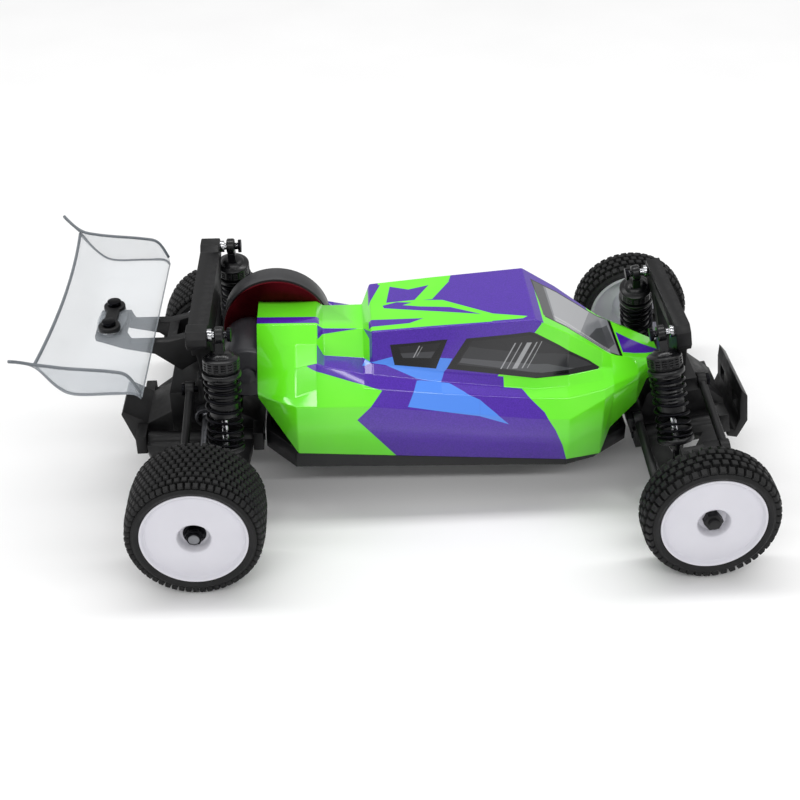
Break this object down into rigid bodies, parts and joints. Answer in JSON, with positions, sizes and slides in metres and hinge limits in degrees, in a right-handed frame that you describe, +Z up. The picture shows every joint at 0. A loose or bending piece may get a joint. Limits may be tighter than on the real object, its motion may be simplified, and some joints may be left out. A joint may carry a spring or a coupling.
{
  "type": "rc buggy",
  "caption": "Small off-road radio control buggy: creased body shell, clear rear wing, wishbone suspension with coil shocks, dish wheels and block-tread tyres.",
  "frame": {"origin": "centre of the overall box, on the ground under the tyres", "axes": "+X towards the nose, +Y to the car's left, +Z up"},
  "size_m": [0.202, 0.124, 0.0637],
  "materials": {
    "nylon": "satin",
    "chassis": "satin",
    "shell": "gloss",
    "clear": "gloss",
    "rubber": "matte",
    "white_nylon": "satin",
    "steel": "satin",
    "black_steel": "satin",
    "red_aluminium": "anodised",
    "grey_plastic": "satin",
    "pack_wrap": "gloss"
  },
  "bodies": {
    "chassis": {"chassis_tray": "chassis", "rear_gearbox": "nylon", "front_bulkhead": "nylon", "front_shock_tower": "nylon", "rear_shock_tower": "nylon", "wing_mount": "nylon", "rear_wing": "clear", "wing_button": "nylon", "front_bumper": "nylon", "motor": "black_steel", "motor_plate": "red_aluminium", "gear_cover": "grey_plastic", "servo": "nylon", "battery": "pack_wrap", "receiver_esc": "nylon", "screws": "steel"},
    "arm_rear_left": {"arm_rear_left": "nylon"},
    "hub_rear_left": {"hub_rear_left": "nylon"},
    "camber_link_rear_left": {"camber_link_rear_left": "nylon"},
    "shock_body_rear_left": {"shock_body_rear_left": "nylon", "spring_rear_left": "black_steel"},
    "shock_rod_rear_left": {"shock_rod_rear_left": "nylon"},
    "drive_shaft_left": {"drive_shaft_left": "black_steel"},
    "wheel_rear_left": {"wheel_rear_left": "white_nylon", "tyre_rear_left": "rubber"},
    "arm_rear_right": {"arm_rear_right": "nylon"},
    "hub_rear_right": {"hub_rear_right": "nylon"},
    "camber_link_rear_right": {"camber_link_rear_right": "nylon"},
    "shock_body_rear_right": {"shock_body_rear_right": "nylon", "spring_rear_right": "black_steel"},
    "shock_rod_rear_right": {"shock_rod_rear_right": "nylon"},
    "drive_shaft_right": {"drive_shaft_right": "black_steel"},
    "wheel_rear_right": {"wheel_rear_right": "white_nylon", "tyre_rear_right": "rubber"},
    "arm_front_left": {"arm_front_left": "nylon"},
    "caster_block_left": {"caster_block_left": "nylon"},
    "camber_link_front_left": {"camber_link_front_left": "nylon"},
    "shock_body_front_left": {"shock_body_front_left": "nylon", "spring_front_left": "black_steel"},
    "shock_rod_front_left": {"shock_rod_front_left": "nylon"},
    "knuckle_left": {"knuckle_left": "nylon"},
    "wheel_front_left": {"wheel_front_left": "white_nylon", "tyre_front_left": "rubber"},
    "tie_rod_left": {"tie_rod_left": "nylon"},
    "arm_front_right": {"arm_front_right": "nylon"},
    "caster_block_right": {"caster_block_right": "nylon"},
    "camber_link_front_right": {"camber_link_front_right": "nylon"},
    "shock_body_front_right": {"shock_body_front_right": "nylon", "spring_front_right": "black_steel"},
    "shock_rod_front_right": {"shock_rod_front_right": "nylon"},
    "knuckle_right": {"knuckle_right": "nylon"},
    "wheel_front_right": {"wheel_front_right": "white_nylon", "tyre_front_right": "rubber"},
    "tie_rod_right": {"tie_rod_right": "nylon"},
    "rear_diff": {"rear_diff": "nylon"},
    "spur_gear": {"spur_gear": "nylon"},
    "motor_pinion": {"motor_pinion": "steel"},
    "servo_horn": {"servo_horn": "nylon"},
    "steering_rack": {"steering_rack": "nylon"},
    "body_shell": {"body_shell": "shell"}
  },
  "joints": [
    {"name": "arm_rear_left_hinge", "type": "hinge", "parent": "chassis", "child": "arm_rear_left", "pos_m": [-0.057, 0.012, 0.017], "axis": [1, 0, 0], "range_deg": [0, 18], "stiffness_Nm_per_rad": 0.09, "springref_deg": -34.38},
    {"name": "hub_rear_left_pivot", "type": "hinge", "parent": "arm_rear_left", "child": "hub_rear_left", "pos_m": [-0.057, 0.039, 0.0115], "axis": [1, 0, 0], "range_deg": [-19, 1]},
    {"name": "camber_link_rear_left_pivot", "type": "hinge", "parent": "chassis", "child": "camber_link_rear_left", "pos_m": [-0.0606, 0.012, 0.034], "axis": [1, 0, 0], "range_deg": [-1, 19]},
    {"name": "shock_body_rear_left_pivot", "type": "hinge", "parent": "chassis", "child": "shock_body_rear_left", "pos_m": [-0.0495, 0.026, 0.0596], "axis": [1, 0, 0], "range_deg": [-2, 2]},
    {"name": "shock_rod_rear_left_slide", "type": "slide", "parent": "shock_body_rear_left", "child": "shock_rod_rear_left", "axis": [0, -0.2049, 0.9788], "range_m": [-0.0002, 0.0073], "deforming": ["spring_rear_left"]},
    {"name": "drive_shaft_left_swing", "type": "hinge", "parent": "chassis", "child": "drive_shaft_left", "pos_m": [-0.057, 0.01, 0.024], "axis": [1, 0, 0], "range_deg": [-1, 19]},
    {"name": "wheel_rear_left_spin", "type": "hinge", "parent": "hub_rear_left", "child": "wheel_rear_left", "pos_m": [-0.057, 0.05, 0.0185], "axis": [0, 1, 0], "continuous": true},
    {"name": "arm_rear_right_hinge", "type": "hinge", "parent": "chassis", "child": "arm_rear_right", "pos_m": [-0.057, -0.012, 0.017], "axis": [-1, 0, 0], "range_deg": [0, 18], "stiffness_Nm_per_rad": 0.09, "springref_deg": -34.38},
    {"name": "hub_rear_right_pivot", "type": "hinge", "parent": "arm_rear_right", "child": "hub_rear_right", "pos_m": [-0.057, -0.039, 0.0115], "axis": [-1, 0, 0], "range_deg": [-19, 1]},
    {"name": "camber_link_rear_right_pivot", "type": "hinge", "parent": "chassis", "child": "camber_link_rear_right", "pos_m": [-0.0606, -0.012, 0.034], "axis": [-1, 0, 0], "range_deg": [-1, 19]},
    {"name": "shock_body_rear_right_pivot", "type": "hinge", "parent": "chassis", "child": "shock_body_rear_right", "pos_m": [-0.0495, -0.026, 0.0596], "axis": [-1, 0, 0], "range_deg": [-2, 2]},
    {"name": "shock_rod_rear_right_slide", "type": "slide", "parent": "shock_body_rear_right", "child": "shock_rod_rear_right", "axis": [0, 0.2049, 0.9788], "range_m": [-0.0002, 0.0073], "deforming": ["spring_rear_right"]},
    {"name": "drive_shaft_right_swing", "type": "hinge", "parent": "chassis", "child": "drive_shaft_right", "pos_m": [-0.057, -0.01, 0.024], "axis": [-1, 0, 0], "range_deg": [-1, 19]},
    {"name": "wheel_rear_right_spin", "type": "hinge", "parent": "hub_rear_right", "child": "wheel_rear_right", "pos_m": [-0.057, -0.05, 0.0185], "axis": [0, 1, 0], "continuous": true},
    {"name": "arm_front_left_hinge", "type": "hinge", "parent": "chassis", "child": "arm_front_left", "pos_m": [0.07952, 0.012, 0.01555], "axis": [0.9848, 0, 0.1736], "range_deg": [0, 18], "stiffness_Nm_per_rad": 0.07, "springref_deg": -34.38},
    {"name": "caster_block_left_pivot", "type": "hinge", "parent": "arm_front_left", "child": "caster_block_left", "pos_m": [0.08049, 0.038, 0.01003], "axis": [0.9848, 0, 0.1736], "range_deg": [-19, 1]},
    {"name": "camber_link_front_left_pivot", "type": "hinge", "parent": "chassis", "child": "camber_link_front_left", "pos_m": [0.08578, 0.0115, 0.03188], "axis": [0.9848, 0, 0.1736], "range_deg": [-1, 19]},
    {"name": "shock_body_front_left_pivot", "type": "hinge", "parent": "chassis", "child": "shock_body_front_left", "pos_m": [0.07063, 0.0178, 0.05155], "axis": [0.9848, 0, 0.1736], "range_deg": [-2, 2]},
    {"name": "shock_rod_front_left_slide", "type": "slide", "parent": "shock_body_front_left", "child": "shock_rod_front_left", "axis": [-0.1642, -0.3258, 0.9311], "range_m": [-0.0002, 0.0058], "deforming": ["spring_front_left"]},
    {"name": "knuckle_left_steer", "type": "hinge", "parent": "caster_block_left", "child": "knuckle_left", "pos_m": [0.079, 0.041, 0.0185], "axis": [-0.1736, 0, 0.9848], "range_deg": [-21.8, 21.8]},
    {"name": "wheel_front_left_spin", "type": "hinge", "parent": "knuckle_left", "child": "wheel_front_left", "pos_m": [0.079, 0.056, 0.0185], "axis": [0, 1, 0], "continuous": true},
    {"name": "tie_rod_left_pivot", "type": "hinge", "parent": "steering_rack", "child": "tie_rod_left", "pos_m": [0.06768, 0.015, 0.02107], "axis": [0.9848, 0, 0.1736], "range_deg": [-1, 19]},
    {"name": "arm_front_right_hinge", "type": "hinge", "parent": "chassis", "child": "arm_front_right", "pos_m": [0.07952, -0.012, 0.01555], "axis": [-0.9848, 0, -0.1736], "range_deg": [0, 18], "stiffness_Nm_per_rad": 0.07, "springref_deg": -34.38},
    {"name": "caster_block_right_pivot", "type": "hinge", "parent": "arm_front_right", "child": "caster_block_right", "pos_m": [0.08049, -0.038, 0.01003], "axis": [-0.9848, 0, -0.1736], "range_deg": [-19, 1]},
    {"name": "camber_link_front_right_pivot", "type": "hinge", "parent": "chassis", "child": "camber_link_front_right", "pos_m": [0.08578, -0.0115, 0.03188], "axis": [-0.9848, 0, -0.1736], "range_deg": [-1, 19]},
    {"name": "shock_body_front_right_pivot", "type": "hinge", "parent": "chassis", "child": "shock_body_front_right", "pos_m": [0.07063, -0.0178, 0.05155], "axis": [-0.9848, 0, -0.1736], "range_deg": [-2, 2]},
    {"name": "shock_rod_front_right_slide", "type": "slide", "parent": "shock_body_front_right", "child": "shock_rod_front_right", "axis": [-0.1642, 0.3258, 0.9311], "range_m": [-0.0002, 0.0058], "deforming": ["spring_front_right"]},
    {"name": "knuckle_right_steer", "type": "hinge", "parent": "caster_block_right", "child": "knuckle_right", "pos_m": [0.079, -0.041, 0.0185], "axis": [-0.1736, 0, 0.9848], "range_deg": [-24, 24]},
    {"name": "wheel_front_right_spin", "type": "hinge", "parent": "knuckle_right", "child": "wheel_front_right", "pos_m": [0.079, -0.056, 0.0185], "axis": [0, 1, 0], "continuous": true},
    {"name": "tie_rod_right_pivot", "type": "hinge", "parent": "steering_rack", "child": "tie_rod_right", "pos_m": [0.06768, -0.015, 0.02107], "axis": [-0.9848, 0, -0.1736], "range_deg": [-1, 19]},
    {"name": "rear_diff_spin", "type": "hinge", "parent": "chassis", "child": "rear_diff", "pos_m": [-0.057, 0, 0.024], "axis": [0, 1, 0], "continuous": true},
    {"name": "spur_gear_spin", "type": "hinge", "parent": "chassis", "child": "spur_gear", "pos_m": [-0.03431, 0.011, 0.0445], "axis": [0, 1, 0], "continuous": true},
    {"name": "motor_pinion_spin", "type": "hinge", "parent": "chassis", "child": "motor_pinion", "pos_m": [-0.044, 0.011, 0.0382], "axis": [0, 1, 0], "continuous": true},
    {"name": "servo_horn_turn", "type": "hinge", "parent": "chassis", "child": "servo_horn", "pos_m": [0.05548, 0, 0.02107], "axis": [0, 0, 1], "range_deg": [-35, 35]},
    {"name": "steering_rack_slide", "type": "slide", "parent": "chassis", "child": "steering_rack", "axis": [0, 1, 0], "range_m": [-0.0042, 0.0042]},
    {"name": "body_shell_lift", "type": "slide", "parent": "chassis", "child": "body_shell", "axis": [-0.0599, 0, 0.9982], "range_m": [0, 0.05]}
  ],
  "couplings": [
    {"joint": "hub_rear_left_pivot", "follows": "arm_rear_left_hinge", "ratio": -1},
    {"joint": "camber_link_rear_left_pivot", "follows": "arm_rear_left_hinge", "ratio": 1},
    {"joint": "shock_body_rear_left_pivot", "follows": "arm_rear_left_hinge", "ratio": -0.001352},
    {"joint": "shock_rod_rear_left_slide", "follows": "arm_rear_left_hinge", "m_per_rad": 0.02252},
    {"joint": "drive_shaft_left_swing", "follows": "arm_rear_left_hinge", "ratio": 1},
    {"joint": "hub_rear_right_pivot", "follows": "arm_rear_right_hinge", "ratio": -1},
    {"joint": "camber_link_rear_right_pivot", "follows": "arm_rear_right_hinge", "ratio": 1},
    {"joint": "shock_body_rear_right_pivot", "follows": "arm_rear_right_hinge", "ratio": -0.001352},
    {"joint": "shock_rod_rear_right_slide", "follows": "arm_rear_right_hinge", "m_per_rad": 0.02252},
    {"joint": "drive_shaft_right_swing", "follows": "arm_rear_right_hinge", "ratio": 1},
    {"joint": "caster_block_left_pivot", "follows": "arm_front_left_hinge", "ratio": -1},
    {"joint": "camber_link_front_left_pivot", "follows": "arm_front_left_hinge", "ratio": 1},
    {"joint": "shock_body_front_left_pivot", "follows": "arm_front_left_hinge", "ratio": 0.066921},
    {"joint": "shock_rod_front_left_slide", "follows": "arm_front_left_hinge", "m_per_rad": 0.017861},
    {"joint": "tie_rod_left_pivot", "follows": "arm_front_left_hinge", "ratio": 1},
    {"joint": "caster_block_right_pivot", "follows": "arm_front_right_hinge", "ratio": -1},
    {"joint": "camber_link_front_right_pivot", "follows": "arm_front_right_hinge", "ratio": 1},
    {"joint": "shock_body_front_right_pivot", "follows": "arm_front_right_hinge", "ratio": 0.066921},
    {"joint": "shock_rod_front_right_slide", "follows": "arm_front_right_hinge", "m_per_rad": 0.017861},
    {"joint": "knuckle_right_steer", "follows": "knuckle_left_steer", "ratio": 1},
    {"joint": "tie_rod_right_pivot", "follows": "arm_front_right_hinge", "ratio": 1},
    {"joint": "wheel_rear_right_spin", "follows": "wheel_rear_left_spin", "ratio": 1},
    {"joint": "rear_diff_spin", "follows": "wheel_rear_left_spin", "ratio": 1},
    {"joint": "spur_gear_spin", "follows": "wheel_rear_left_spin", "ratio": 2.5},
    {"joint": "motor_pinion_spin", "follows": "wheel_rear_left_spin", "ratio": -9},
    {"joint": "servo_horn_turn", "follows": "knuckle_left_steer", "ratio": -1.555},
    {"joint": "steering_rack_slide", "follows": "knuckle_left_steer", "m_per_rad": -0.010435}
  ]
}
